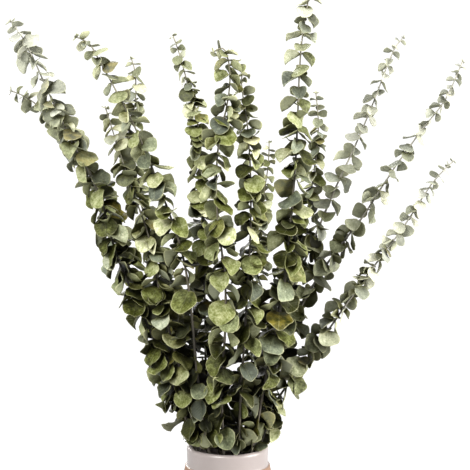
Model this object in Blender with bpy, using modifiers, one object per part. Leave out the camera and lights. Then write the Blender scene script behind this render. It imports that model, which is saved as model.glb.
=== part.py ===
# Leafy eucalyptus branches standing together in a two-tone ceramic vase.
# Lengths below are in millimetres and angles in degrees; meshes are made in metres.
# The origin is the centre of the vase's underside, +Z is up and -Y faces the viewer.

import math
import random

import bmesh
import bpy
from mathutils import Matrix, Vector
from mathutils.bvhtree import BVHTree

MM = 0.001
MERGE = 0.00001
FIRST_SEED = 100

# Vase
VASE_HEIGHT = 205.0
VASE_BASE_RADIUS = 42.0
VASE_SHOULDER_RADIUS = 45.6
VASE_BULGE = 13.0
VASE_WALL = 4.5
VASE_FLOOR = 8.0
FOOT_ROUNDING = 2.0
COLLAR_HEIGHT = 21.0
COLLAR_RADIUS = 43.6
COLLAR_STEP = 1.0
RIM_RADIUS = 44.0
MOUTH_RADIUS = 37.5
LIP_STEPS = 5
BODY_STEPS = 8
INNER_STEPS = 4
VASE_SIDES = 30

# How the stems stand in the vase
SEAT_GAP = 0.3
SEAT_DEPTH = 2.0
FOOT_GAP = 0.7
FOOT_CIRCLE = 30.0
FIRST_MOUTH_ANGLE = 6.0
STEM_TWIST = -130.0
LENGTH_ABOVE_MOUTH = 500.0
LEAD_IN = 60.0

# Stems
STEM_FOOT_RADIUS = 1.9
STEM_TIP_RADIUS = 0.6
STEM_TAPER_LENGTH = 620.0
ROUTE_STEPS = 14
RING_SPACING_TIP = 16.0
RING_SPACING_FOOT = 60.0

# Leaf pairs, by their distance down the stem from its tip
FIRST_NODE = 2.0
NODE_SPACING_TIP = 6.5
NODE_SPACING_FULL = 17.0
NODE_SPACING_GROWTH = 150.0
LEAF_BUD_SHARE = 0.3
LEAF_YOUNG_GROWTH = 10.0
LEAF_LATE_GROWTH = 300.0
LEAF_ASPECT = 0.93
LEAF_THICKNESS = 0.7
LEAF_CURL = 0.07
LEAF_ROOT_SHARE = 0.6
TILT_TIP = 85.0
TILT_GROWTH = 24.0
LOWEST_LEAF = 20.0
BARE_EVERY = 5

# How much the leaves differ: shares of a size, or degrees each way
SPACING_RANGE = (0.88, 1.12)
WIDTH_RANGE = (0.86, 1.08)
ASPECT_RANGE = (0.9, 1.08)
CURL_JITTER = 0.09
TURN_JITTER = 14.0
TILT_JITTER = 16.0
SKEW_JITTER = 9.0
ROLL_JITTER = 45.0

# A blade's outline: share of its length and share of its width on each side
BLADE_STATIONS = ((0.2, 0.42), (0.66, 0.5), (1.0, 0.2))
SMALL_BLADE_STATIONS = ((0.35, 0.5), (1.0, 0.26))
SMALL_BLADE_WIDTH = 16.0

# Room that a blade keeps to another branch or to the vase
CLEARANCE = 0.5

# Changes tried in turn when a blade would touch something: tilt, turn, size
TRIES = (
    (0.0, 0.0, 1.0),
    (14.0, 12.0, 1.0),
    (-14.0, -12.0, 1.0),
    (24.0, -22.0, 0.95),
    (-26.0, 22.0, 0.95),
    (8.0, 38.0, 0.9),
    (-8.0, -38.0, 0.9),
    (38.0, 0.0, 0.85),
    (-40.0, 0.0, 0.85),
)

# Each branch in its order round the vase's mouth: name, width of a young leaf and of the
# widest one, how far its leaves hang back from the way it grows, then its route as x, y
# and height above the rim, from the mouth to the tip
BRANCHES = (
    ("branch_right_middle", 9.5, 32.0, 140.0, (
        (48, 22, 61), (70, 38, 124), (107, 58, 186), (146, 72, 235), (179, 84, 284),
        (213, 92, 331), (240, 96, 366), (260, 100, 410))),
    ("branch_right_upper", 9.5, 32.0, 138.0, (
        (38, 38, 57), (58, 58, 128), (83, 74, 184), (119, 96, 266), (141, 106, 312),
        (162, 114, 361), (184, 118, 418), (197, 118, 436))),
    ("branch_back_right", 11.5, 31.0, 134.0, (
        (33, 47, 55), (52, 68, 124), (72, 86, 183), (87, 98, 232), (98, 106, 298),
        (101, 108, 337), (98, 110, 374))),
    ("branch_back_short", 10.0, 28.0, 132.0, (
        (21, 48, 44), (30, 68, 113), (34, 86, 189), (39, 96, 249), (45, 98, 294),
        (46, 98, 321))),
    ("branch_back_middle", 12.5, 32.0, 134.0, (
        (-22, 48, 49), (-25, 68, 124), (-27, 88, 222), (-31, 92, 277), (-33, 92, 339),
        (-42, 88, 377), (-53, 84, 418), (-60, 82, 438))),
    ("branch_back_left", 13.0, 31.0, 132.0, (
        (-36, 35, 47), (-53, 58, 115), (-75, 72, 191), (-97, 82, 256), (-110, 86, 317),
        (-102, 86, 361), (-101, 84, 394), (-106, 84, 414))),
    ("branch_left_far", 15.0, 31.0, 136.0, (
        (-54, 12, 58), (-82, 22, 122), (-105, 26, 187), (-131, 26, 258), (-162, 22, 322),
        (-193, 18, 358), (-217, 16, 376), (-230, 16, 381))),
    ("branch_left_tall", 18.0, 32.0, 138.0, (
        (-50, -27, 56), (-67, -38, 102), (-85, -46, 146), (-113, -55, 213), (-130, -60, 278),
        (-150, -62, 318), (-167, -60, 353), (-185, -57, 392), (-204, -52, 433),
        (-220, -50, 456))),
    ("branch_left_inner", 15.0, 32.0, 136.0, (
        (-44, -42, 71), (-57, -54, 126), (-69, -60, 175), (-79, -62, 232), (-97, -56, 283),
        (-112, -48, 327), (-125, -42, 368))),
    ("branch_front_left", 14.5, 31.0, 132.0, (
        (-29, -47, 66), (-34, -66, 129), (-38, -78, 173), (-43, -84, 213), (-61, -90, 272),
        (-88, -92, 342), (-108, -90, 382), (-126, -87, 415), (-138, -85, 434), (-151, -84, 440))),
    ("branch_front_middle", 17.0, 33.0, 136.0, (
        (-6, -50, 67), (-2, -70, 140), (-2, -80, 194), (-10, -88, 267), (-9, -90, 327),
        (1, -90, 377), (3, -90, 405), (-1, -90, 424), (-8, -91, 431), (-15, -92, 424))),
    ("branch_front_right", 14.0, 33.0, 132.0, (
        (14, -45, 61), (17, -60, 117), (23, -75, 224), (24, -74, 295), (20, -68, 356),
        (15, -64, 386), (16, -60, 409))),
    ("branch_centre_tall", 13.0, 32.0, 132.0, (
        (37, -32, 63), (45, -42, 108), (55, -50, 157), (63, -54, 226), (70, -50, 308),
        (73, -42, 379), (76, -36, 430), (84, -30, 481), (92, -27, 518))),
    ("branch_right_low", 10.0, 31.0, 138.0, (
        (56, 2, 54), (87, 8, 93), (122, 16, 143), (159, 24, 193), (191, 32, 235),
        (222, 40, 281), (245, 46, 304))),
)


def clear_scene():
    for item in list(bpy.data.objects):
        bpy.data.objects.remove(item, do_unlink=True)


def new_collection(name):
    group = bpy.data.collections.new(name)
    bpy.context.scene.collection.children.link(group)
    return group


def material(name, colour, roughness):
    surface = bpy.data.materials.new(name)
    surface.use_nodes = True
    shader = surface.node_tree.nodes["Principled BSDF"]
    shader.inputs["Base Color"].default_value = (*colour, 1.0)
    shader.inputs["Roughness"].default_value = roughness
    shader.inputs["Metallic"].default_value = 0.0
    return surface


def polar(radius, angle, height):
    turn = math.radians(angle)
    return Vector((radius * math.cos(turn), radius * math.sin(turn), height))


# Vase


def body_radius(share):
    straight = VASE_BASE_RADIUS + (VASE_SHOULDER_RADIUS - VASE_BASE_RADIUS) * share
    return straight + VASE_BULGE * math.sin(math.pi * share)


def vase_profile():
    shoulder = VASE_HEIGHT - COLLAR_HEIGHT
    points = [(0.0, VASE_FLOOR)]
    for step in range(INNER_STEPS + 1):
        height = VASE_FLOOR + (shoulder - VASE_FLOOR) * step / INNER_STEPS
        points.append((body_radius(height / shoulder) - VASE_WALL, height))
    lip = (RIM_RADIUS - MOUTH_RADIUS) / 2.0
    points.append((MOUTH_RADIUS, VASE_HEIGHT - COLLAR_HEIGHT / 2.0))
    for step in range(LIP_STEPS + 1):
        turn = math.pi * (1.0 - step / LIP_STEPS)
        reach = MOUTH_RADIUS + lip + lip * math.cos(turn)
        points.append((reach, VASE_HEIGHT - lip + lip * math.sin(turn)))
    points.append((COLLAR_RADIUS, shoulder + COLLAR_STEP))
    for step in range(BODY_STEPS + 1):
        height = shoulder + (FOOT_ROUNDING - shoulder) * step / BODY_STEPS
        points.append((body_radius(height / shoulder), height))
    points.append((VASE_BASE_RADIUS - FOOT_ROUNDING, 0.0))
    points.append((0.0, 0.0))
    return points


def make_vase(group, surface):
    points = [(x * MM, 0.0, z * MM) for x, z in vase_profile()]
    edges = [(i, i + 1) for i in range(len(points) - 1)]
    mesh = bpy.data.meshes.new("vase")
    mesh.from_pydata(points, edges, [])
    vase = bpy.data.objects.new("vase", mesh)
    group.objects.link(vase)
    turned = vase.modifiers.new("turned", "SCREW")
    turned.steps = VASE_SIDES
    turned.render_steps = VASE_SIDES
    turned.use_merge_vertices = True
    turned.merge_threshold = MERGE
    mesh.materials.append(surface)
    return vase


def evaluated_mesh(item):
    bpy.context.view_layer.update()
    graph = bpy.context.evaluated_depsgraph_get()
    return bpy.data.meshes.new_from_object(item.evaluated_get(graph))


def tree_of_mesh(mesh):
    corners = [v.co / MM for v in mesh.vertices]
    faces = [tuple(p.vertices) for p in mesh.polygons]
    return BVHTree.FromPolygons(corners, faces)


# Stem routes


def catmull(a, b, c, d, t):
    return 0.5 * ((2.0 * b) + (c - a) * t + (2.0 * a - 5.0 * b + 4.0 * c - d) * t * t
                  + (3.0 * b - a - 3.0 * c + d) * t ** 3)


def smooth_route(points):
    ends = [2.0 * points[0] - points[1]] + points + [2.0 * points[-1] - points[-2]]
    route = []
    for i in range(len(points) - 1):
        for step in range(ROUTE_STEPS):
            route.append(catmull(*ends[i:i + 4], step / ROUTE_STEPS))
    route.append(points[-1])
    return route


def stem_radius(from_tip):
    share = min(from_tip / STEM_TAPER_LENGTH, 1.0)
    return STEM_TIP_RADIUS + (STEM_FOOT_RADIUS - STEM_TIP_RADIUS) * share


def lengths_from_tip(points):
    out = [0.0]
    for a, b in zip(points, points[1:]):
        out.append(out[-1] + (b - a).length)
    return out


def at_distance(points, lengths, distance):
    for i in range(len(points) - 1):
        if distance <= lengths[i + 1] or i == len(points) - 2:
            span = lengths[i + 1] - lengths[i]
            share = (distance - lengths[i]) / span
            return points[i].lerp(points[i + 1], share), (points[i] - points[i + 1]).normalized()


def stem_rings(index, route):
    """The stem's bends, from its tip down to its foot on the vase's floor."""
    count = len(BRANCHES)
    angle = FIRST_MOUTH_ANGLE + 360.0 * index / count
    seat = MOUTH_RADIUS - SEAT_GAP - stem_radius(LENGTH_ABOVE_MOUTH)
    mouth = polar(seat, angle, VASE_HEIGHT - SEAT_DEPTH)
    foot = polar(FOOT_CIRCLE, angle + STEM_TWIST, VASE_FLOOR + FOOT_GAP)
    upper = [Vector((x, y, z + VASE_HEIGHT)) for x, y, z in route]
    slope = (mouth - foot).normalized()
    smooth = smooth_route([mouth - slope * LEAD_IN, mouth] + upper)
    smooth = list(reversed(smooth[ROUTE_STEPS:]))
    lengths = lengths_from_tip(smooth)
    total = lengths[-1]
    rings = [smooth[0]]
    distance = 0.0
    while True:
        share = distance / total
        distance += RING_SPACING_TIP + (RING_SPACING_FOOT - RING_SPACING_TIP) * share
        if distance > total - RING_SPACING_TIP:
            break
        rings.append(at_distance(smooth, lengths, distance)[0])
    rings.append(mouth)
    rings.append(foot)
    return rings


def make_stem(name, rings):
    curve = bpy.data.curves.new(name, "CURVE")
    curve.dimensions = "3D"
    curve.bevel_depth = MM
    curve.bevel_resolution = 0
    curve.use_fill_caps = True
    line = curve.splines.new("POLY")
    line.points.add(len(rings) - 1)
    lengths = lengths_from_tip(rings)
    for point, place, distance in zip(line.points, rings, lengths):
        point.co = (*(place * MM), 1.0)
        point.radius = stem_radius(distance)
    drawn = bpy.data.objects.new(name + "_line", curve)
    bpy.context.scene.collection.objects.link(drawn)
    mesh = evaluated_mesh(drawn)
    bpy.data.objects.remove(drawn, do_unlink=True)
    bpy.data.curves.remove(curve)
    return welded(mesh)


def welded(mesh):
    work = bmesh.new()
    work.from_mesh(mesh)
    bmesh.ops.remove_doubles(work, verts=work.verts, dist=MERGE)
    bmesh.ops.recalc_face_normals(work, faces=work.faces)
    work.to_mesh(mesh)
    work.free()
    return mesh


# Leaves


class Leaf:
    """One blade: where it grows, its axes, its size and the branch that bears it."""

    def __init__(self, branch, root, axis, normal, width, length, curl, stem):
        self.branch = branch
        self.root = root
        self.axis = axis
        self.side = normal.cross(axis).normalized()
        self.normal = normal
        self.width = width
        self.length = length
        self.curl = curl
        self.stem = stem

    def point(self, along, across, lift):
        bend = self.curl * self.length * (along / self.length) ** 2
        return (self.root + self.axis * (self.stem + along if along > 0.0 else 0.0)
                + self.side * across + self.normal * (bend + lift))


def blade_mesh(leaf, margin=0.0):
    """Corners and flat faces of a closed blade, alike on its upper and lower side."""
    half = LEAF_THICKNESS / 2.0 + margin
    rows = [(0.0, leaf.stem * LEAF_ROOT_SHARE)]
    stations = SMALL_BLADE_STATIONS if leaf.width < SMALL_BLADE_WIDTH else BLADE_STATIONS
    for along, across in stations:
        rows.append((along * leaf.length, across * leaf.width + margin))
    rows[-1] = (rows[-1][0] + margin, rows[-1][1])
    corners = []
    for along, across in rows:
        for side in (-across, across):
            for lift in (half, -half):
                corners.append(leaf.point(along, side, lift))
    faces = [(0, 1, 3, 2)]
    for row in range(len(rows) - 1):
        a = 4 * row
        b = a + 4
        faces += [(a, a + 2, b + 2, b), (a + 1, b + 1, b + 3, a + 3)]
        faces += [(a, b, b + 1, a + 1), (a + 2, a + 3, b + 3, b + 2)]
    faces.append((b, b + 2, b + 3, b + 1))
    return corners, faces


def leaf_width(from_tip, young, widest):
    opened = LEAF_BUD_SHARE + (1.0 - LEAF_BUD_SHARE) * (1.0 - math.exp(-from_tip / LEAF_YOUNG_GROWTH))
    return young * opened + (widest - young) * (1.0 - math.exp(-from_tip / LEAF_LATE_GROWTH))


def node_spacing(from_tip):
    grown = 1.0 - math.exp(-from_tip / NODE_SPACING_GROWTH)
    return NODE_SPACING_TIP + (NODE_SPACING_FULL - NODE_SPACING_TIP) * grown


def leaf_tilt(from_tip, full_tilt):
    return TILT_TIP + (full_tilt - TILT_TIP) * (1.0 - math.exp(-from_tip / TILT_GROWTH))


def grow_nodes(index, rings, young, widest, full_tilt):
    """Each leaf pair's place, size and angles, from the tip down to the vase's mouth."""
    draw = random.Random(FIRST_SEED + index)
    lengths = lengths_from_tip(rings)
    start = draw.uniform(0.0, 90.0)
    nodes = []
    distance = FIRST_NODE
    while distance < lengths[-2] - LOWEST_LEAF:
        place, tipward = at_distance(rings, lengths, distance)
        order = len(nodes)
        nodes.append({
            "place": place,
            "tipward": tipward,
            "stem": stem_radius(distance),
            "turn": start + 90.0 * order + draw.uniform(-TURN_JITTER, TURN_JITTER),
            "leaves": [
                {
                    "tilt": leaf_tilt(distance, full_tilt) + draw.uniform(-TILT_JITTER, TILT_JITTER),
                    "skew": draw.uniform(-SKEW_JITTER, SKEW_JITTER),
                    "roll": draw.uniform(-ROLL_JITTER, ROLL_JITTER),
                    "width": leaf_width(distance, young, widest) * draw.uniform(*WIDTH_RANGE),
                    "aspect": LEAF_ASPECT * draw.uniform(*ASPECT_RANGE),
                    "curl": LEAF_CURL + draw.uniform(-CURL_JITTER, CURL_JITTER),
                }
                for _ in range(2)
            ],
        })
        distance += node_spacing(distance) * draw.uniform(*SPACING_RANGE)
    return nodes


def make_leaf(branch, node, side, change):
    draw = node["leaves"][side]
    tilt, turn, size = change
    tipward = node["tipward"]
    across = tipward.orthogonal().normalized()
    azimuth = math.radians(node["turn"] + 180.0 * side + draw["skew"] + turn)
    outward = Matrix.Rotation(azimuth, 3, tipward) @ across
    lean = math.radians(draw["tilt"] + tilt)
    axis = (tipward * math.cos(lean) + outward * math.sin(lean)).normalized()
    normal = (tipward * math.sin(lean) - outward * math.cos(lean)).normalized()
    normal = Matrix.Rotation(math.radians(draw["roll"]), 3, axis) @ normal
    width = draw["width"] * size
    return Leaf(branch, node["place"], axis, normal, width, width * draw["aspect"],
                draw["curl"], node["stem"])


class Crowd:
    """What is already placed, and whether a new blade is clear of it."""

    def __init__(self, fixed):
        self.fixed = fixed
        self.placed = []

    def clear(self, leaf):
        corners, faces = blade_mesh(leaf, CLEARANCE)
        tree = BVHTree.FromPolygons(corners, faces)
        for owner, body in self.fixed:
            if owner != leaf.branch and tree.overlap(body):
                return False
        centre = leaf.point(leaf.length / 2.0, 0.0, 0.0)
        reach = leaf.length + leaf.width
        own = None
        for other_centre, other_reach, owner, body, blade in self.placed:
            if (other_centre - centre).length > (reach + other_reach) * 0.5:
                continue
            if owner != leaf.branch:
                if tree.overlap(body):
                    return False
                continue
            if own is None:
                own = BVHTree.FromPolygons(corners[4:], self.free_faces(faces))
            if own.overlap(blade):
                return False
        return True

    def free_faces(self, faces):
        return [tuple(i - 4 for i in f) for f in faces if min(f) >= 4]

    def add(self, leaf):
        corners, faces = blade_mesh(leaf)
        body = BVHTree.FromPolygons(corners, faces)
        blade = BVHTree.FromPolygons(corners[4:], self.free_faces(faces))
        centre = leaf.point(leaf.length / 2.0, 0.0, 0.0)
        self.placed.append((centre, leaf.length + leaf.width, leaf.branch, body, blade))


def place_leaves(growth, crowd):
    """One blade of each pair in turn round the stem, so that they are even on all sides."""
    leaves = []
    for order in range(max(len(nodes) for nodes in growth)):
        for branch, nodes in enumerate(growth):
            if order >= len(nodes) or order % BARE_EVERY == BARE_EVERY - 1:
                continue
            side = (order // 2) % 2
            for change in TRIES:
                leaf = make_leaf(branch, nodes[order], side, change)
                if crowd.clear(leaf):
                    crowd.add(leaf)
                    leaves.append(leaf)
                    break
    return leaves


def blade_object(name, leaf):
    corners, faces = blade_mesh(leaf)
    mesh = bpy.data.meshes.new(name)
    mesh.from_pydata([c * MM for c in corners], [], faces)
    return bpy.data.objects.new(name, mesh)


def join_branch(group, name, stem_mesh, leaves, surface):
    stem = bpy.data.objects.new(name, stem_mesh)
    group.objects.link(stem)
    blades = new_collection(name + "_blades")
    for number, leaf in enumerate(leaves):
        blades.objects.link(blade_object("%s_blade_%02d" % (name, number), leaf))
    union = stem.modifiers.new("grown together", "BOOLEAN")
    union.operation = "UNION"
    union.operand_type = "COLLECTION"
    union.collection = blades
    union.solver = "EXACT"
    union.use_self = True
    joined = evaluated_mesh(stem)
    stem.modifiers.clear()
    stem.data = joined
    joined.name = name
    joined.materials.clear()
    joined.materials.append(surface)
    for blade in list(blades.objects):
        bpy.data.objects.remove(blade, do_unlink=True)
    bpy.data.collections.remove(blades)
    return stem


def build():
    clear_scene()
    group = new_collection("eucalyptus_in_vase")
    clay = material("clay", (0.78, 0.72, 0.66), 0.5)
    foliage = material("foliage", (0.24, 0.3, 0.18), 0.6)
    vase = make_vase(group, clay)
    rings = [stem_rings(i, branch[4]) for i, branch in enumerate(BRANCHES)]
    stems = [make_stem(branch[0], rings[i]) for i, branch in enumerate(BRANCHES)]
    growth = [grow_nodes(i, rings[i], *branch[1:4]) for i, branch in enumerate(BRANCHES)]
    fixed = [(i, tree_of_mesh(mesh)) for i, mesh in enumerate(stems)]
    fixed.append((-1, tree_of_mesh(evaluated_mesh(vase))))
    leaves = place_leaves(growth, Crowd(fixed))
    for i, branch in enumerate(BRANCHES):
        own = [leaf for leaf in leaves if leaf.branch == i]
        join_branch(group, branch[0], stems[i], own, foliage)


build()
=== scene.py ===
# The looks of a bunch of eucalyptus branches standing in a two-tone ceramic vase.
# Growth is worked out in millimetres and degrees, and meshes are made in metres.
# The origin is the centre of the vase's underside, +Z is up and -Y faces the viewer.

import math
import random

import bpy
import numpy as np
from mathutils import Matrix, Vector
from mathutils.bvhtree import BVHTree


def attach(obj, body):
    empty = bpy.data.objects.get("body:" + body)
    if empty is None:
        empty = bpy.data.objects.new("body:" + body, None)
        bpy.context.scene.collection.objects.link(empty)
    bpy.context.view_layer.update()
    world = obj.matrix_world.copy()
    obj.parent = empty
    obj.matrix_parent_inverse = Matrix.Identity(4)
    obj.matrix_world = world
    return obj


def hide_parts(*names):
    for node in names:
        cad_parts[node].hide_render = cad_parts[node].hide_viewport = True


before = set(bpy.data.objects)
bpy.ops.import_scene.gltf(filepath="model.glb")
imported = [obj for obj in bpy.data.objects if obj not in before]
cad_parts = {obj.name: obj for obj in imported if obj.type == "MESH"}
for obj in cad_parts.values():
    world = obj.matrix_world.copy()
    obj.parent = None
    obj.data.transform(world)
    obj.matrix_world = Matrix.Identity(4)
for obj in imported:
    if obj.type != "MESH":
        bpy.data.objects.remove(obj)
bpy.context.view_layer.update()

MM = 0.001
FIRST_SEED = 100

# Vase
VASE_HEIGHT = 205.0
VASE_BASE_RADIUS = 42.0
VASE_SHOULDER_RADIUS = 45.6
VASE_BULGE = 13.0
VASE_WALL = 4.5
VASE_FLOOR = 8.0
FOOT_ROUNDING = 2.0
COLLAR_HEIGHT = 21.0
COLLAR_RADIUS = 43.6
COLLAR_STEP = 1.0
RIM_RADIUS = 44.0
MOUTH_RADIUS = 37.5

# How the stems stand in the vase
SEAT_GAP = 0.3
SEAT_DEPTH = 2.0
FOOT_GAP = 0.7
FOOT_CIRCLE = 30.0
FIRST_MOUTH_ANGLE = 6.0
STEM_TWIST = -130.0
LENGTH_ABOVE_MOUTH = 500.0
LEAD_IN = 60.0

# Stems
STEM_FOOT_RADIUS = 1.9
STEM_TIP_RADIUS = 0.6
STEM_TAPER_LENGTH = 620.0
ROUTE_STEPS = 14
RING_SPACING_TIP = 16.0
RING_SPACING_FOOT = 60.0

# Leaf pairs, by their distance down the stem from its tip
FIRST_NODE = 2.0
NODE_SPACING_TIP = 6.5
NODE_SPACING_FULL = 17.0
NODE_SPACING_GROWTH = 150.0
LEAF_BUD_SHARE = 0.3
LEAF_YOUNG_GROWTH = 10.0
LEAF_LATE_GROWTH = 300.0
LEAF_ASPECT = 0.93
LEAF_THICKNESS = 0.7
LEAF_CURL = 0.07
LEAF_ROOT_SHARE = 0.6
TILT_TIP = 85.0
TILT_GROWTH = 24.0
LOWEST_LEAF = 20.0
BARE_EVERY = 5

# How much the leaves differ: shares of a size, or degrees each way
SPACING_RANGE = (0.88, 1.12)
WIDTH_RANGE = (0.86, 1.08)
ASPECT_RANGE = (0.9, 1.08)
CURL_JITTER = 0.09
TURN_JITTER = 14.0
TILT_JITTER = 16.0
SKEW_JITTER = 9.0
ROLL_JITTER = 45.0

# A plain blade's outline, for keeping leaves apart
BLADE_STATIONS = ((0.2, 0.42), (0.66, 0.5), (1.0, 0.2))
SMALL_BLADE_STATIONS = ((0.35, 0.5), (1.0, 0.26))
SMALL_BLADE_WIDTH = 16.0

# Room that a blade keeps to another branch or to the vase
CLEARANCE = 0.5
LATE_CLEARANCE = 0.15

# Changes tried in turn when a blade would touch something: tilt, turn, size
TRIES = (
    (0.0, 0.0, 1.0),
    (14.0, 12.0, 1.0),
    (-14.0, -12.0, 1.0),
    (24.0, -22.0, 0.95),
    (-26.0, 22.0, 0.95),
    (8.0, 38.0, 0.9),
    (-8.0, -38.0, 0.9),
    (38.0, 0.0, 0.85),
    (-40.0, 0.0, 0.85),
)
LATE_TRIES = TRIES + (
    (0.0, 24.0, 0.85),
    (0.0, -24.0, 0.85),
    (20.0, 50.0, 0.85),
    (20.0, -50.0, 0.85),
    (-30.0, 40.0, 0.8),
    (-30.0, -40.0, 0.8),
    (48.0, 15.0, 0.8),
    (-60.0, 10.0, 0.75),
    (10.0, 65.0, 0.75),
    (10.0, -65.0, 0.75),
)

# Each branch in its order round the vase's mouth: name, width of a young leaf and of the
# widest one, how far its leaves hang back from the way it grows, then its route as x, y
# and height above the rim, from the mouth to the tip
BRANCHES = (
    ("branch_right_middle", 9.5, 32.0, 140.0, (
        (48, 22, 61), (70, 38, 124), (107, 58, 186), (146, 72, 235), (179, 84, 284),
        (213, 92, 331), (240, 96, 366), (260, 100, 410))),
    ("branch_right_upper", 9.5, 32.0, 138.0, (
        (38, 38, 57), (58, 58, 128), (83, 74, 184), (119, 96, 266), (141, 106, 312),
        (162, 114, 361), (184, 118, 418), (197, 118, 436))),
    ("branch_back_right", 11.5, 31.0, 134.0, (
        (33, 47, 55), (52, 68, 124), (72, 86, 183), (87, 98, 232), (98, 106, 298),
        (101, 108, 337), (98, 110, 374))),
    ("branch_back_short", 10.0, 28.0, 132.0, (
        (21, 48, 44), (30, 68, 113), (34, 86, 189), (39, 96, 249), (45, 98, 294),
        (46, 98, 321))),
    ("branch_back_middle", 12.5, 32.0, 134.0, (
        (-22, 48, 49), (-25, 68, 124), (-27, 88, 222), (-31, 92, 277), (-33, 92, 339),
        (-42, 88, 377), (-53, 84, 418), (-60, 82, 438))),
    ("branch_back_left", 13.0, 31.0, 132.0, (
        (-36, 35, 47), (-53, 58, 115), (-75, 72, 191), (-97, 82, 256), (-110, 86, 317),
        (-102, 86, 361), (-101, 84, 394), (-106, 84, 414))),
    ("branch_left_far", 15.0, 31.0, 136.0, (
        (-54, 12, 58), (-82, 22, 122), (-105, 26, 187), (-131, 26, 258), (-162, 22, 322),
        (-193, 18, 358), (-217, 16, 376), (-230, 16, 381))),
    ("branch_left_tall", 18.0, 32.0, 138.0, (
        (-50, -27, 56), (-67, -38, 102), (-85, -46, 146), (-113, -55, 213), (-130, -60, 278),
        (-150, -62, 318), (-167, -60, 353), (-185, -57, 392), (-204, -52, 433),
        (-220, -50, 456))),
    ("branch_left_inner", 15.0, 32.0, 136.0, (
        (-44, -42, 71), (-57, -54, 126), (-69, -60, 175), (-79, -62, 232), (-97, -56, 283),
        (-112, -48, 327), (-125, -42, 368))),
    ("branch_front_left", 14.5, 31.0, 132.0, (
        (-29, -47, 66), (-34, -66, 129), (-38, -78, 173), (-43, -84, 213), (-61, -90, 272),
        (-88, -92, 342), (-108, -90, 382), (-126, -87, 415), (-138, -85, 434), (-151, -84, 440))),
    ("branch_front_middle", 17.0, 33.0, 136.0, (
        (-6, -50, 67), (-2, -70, 140), (-2, -80, 194), (-10, -88, 267), (-9, -90, 327),
        (1, -90, 377), (3, -90, 405), (-1, -90, 424), (-8, -91, 431), (-15, -92, 424))),
    ("branch_front_right", 14.0, 33.0, 132.0, (
        (14, -45, 61), (17, -60, 117), (23, -75, 224), (24, -74, 295), (20, -68, 356),
        (15, -64, 386), (16, -60, 409))),
    ("branch_centre_tall", 13.0, 32.0, 132.0, (
        (37, -32, 63), (45, -42, 108), (55, -50, 157), (63, -54, 226), (70, -50, 308),
        (73, -42, 379), (76, -36, 430), (84, -30, 481), (92, -27, 518))),
    ("branch_right_low", 10.0, 31.0, 138.0, (
        (56, 2, 54), (87, 8, 93), (122, 16, 143), (159, 24, 193), (191, 32, 235),
        (222, 40, 281), (245, 46, 304))),
)


def polar(radius, angle, height):
    turn = math.radians(angle)
    return Vector((radius * math.cos(turn), radius * math.sin(turn), height))


def evaluated_mesh(item):
    bpy.context.view_layer.update()
    graph = bpy.context.evaluated_depsgraph_get()
    return bpy.data.meshes.new_from_object(item.evaluated_get(graph))


def tree_of_mesh(mesh):
    corners = [v.co / MM for v in mesh.vertices]
    faces = [tuple(p.vertices) for p in mesh.polygons]
    return BVHTree.FromPolygons(corners, faces)


# Stem routes


def catmull(a, b, c, d, t):
    return 0.5 * ((2.0 * b) + (c - a) * t + (2.0 * a - 5.0 * b + 4.0 * c - d) * t * t
                  + (3.0 * b - a - 3.0 * c + d) * t ** 3)


def smooth_route(points):
    ends = [2.0 * points[0] - points[1]] + points + [2.0 * points[-1] - points[-2]]
    route = []
    for i in range(len(points) - 1):
        for step in range(ROUTE_STEPS):
            route.append(catmull(*ends[i:i + 4], step / ROUTE_STEPS))
    route.append(points[-1])
    return route


def stem_radius(from_tip):
    share = min(from_tip / STEM_TAPER_LENGTH, 1.0)
    return STEM_TIP_RADIUS + (STEM_FOOT_RADIUS - STEM_TIP_RADIUS) * share


def lengths_from_tip(points):
    out = [0.0]
    for a, b in zip(points, points[1:]):
        out.append(out[-1] + (b - a).length)
    return out


def at_distance(points, lengths, distance):
    for i in range(len(points) - 1):
        if distance <= lengths[i + 1] or i == len(points) - 2:
            span = lengths[i + 1] - lengths[i]
            share = (distance - lengths[i]) / span
            return points[i].lerp(points[i + 1], share), (points[i] - points[i + 1]).normalized()


def stem_rings(index, route):
    """The stem's bends, from its tip down to its foot on the vase's floor."""
    angle = FIRST_MOUTH_ANGLE + 360.0 * index / len(BRANCHES)
    seat = MOUTH_RADIUS - SEAT_GAP - stem_radius(LENGTH_ABOVE_MOUTH)
    mouth = polar(seat, angle, VASE_HEIGHT - SEAT_DEPTH)
    foot = polar(FOOT_CIRCLE, angle + STEM_TWIST, VASE_FLOOR + FOOT_GAP)
    upper = [Vector((x, y, z + VASE_HEIGHT)) for x, y, z in route]
    slope = (mouth - foot).normalized()
    smooth = smooth_route([mouth - slope * LEAD_IN, mouth] + upper)
    smooth = list(reversed(smooth[ROUTE_STEPS:]))
    lengths = lengths_from_tip(smooth)
    total = lengths[-1]
    rings = [smooth[0]]
    distance = 0.0
    while True:
        share = distance / total
        distance += RING_SPACING_TIP + (RING_SPACING_FOOT - RING_SPACING_TIP) * share
        if distance > total - RING_SPACING_TIP:
            break
        rings.append(at_distance(smooth, lengths, distance)[0])
    rings.append(mouth)
    rings.append(foot)
    return rings


def stem_mesh(name, rings):
    """The stem as a plain tube, for keeping leaves off it."""
    curve = bpy.data.curves.new(name, "CURVE")
    curve.dimensions = "3D"
    curve.bevel_depth = MM
    curve.bevel_resolution = 0
    curve.use_fill_caps = True
    line = curve.splines.new("POLY")
    line.points.add(len(rings) - 1)
    for point, place, distance in zip(line.points, rings, lengths_from_tip(rings)):
        point.co = (*(place * MM), 1.0)
        point.radius = stem_radius(distance)
    drawn = bpy.data.objects.new(name, curve)
    bpy.context.scene.collection.objects.link(drawn)
    mesh = evaluated_mesh(drawn)
    bpy.data.objects.remove(drawn, do_unlink=True)
    bpy.data.curves.remove(curve)
    return mesh


# Leaf growth


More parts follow.
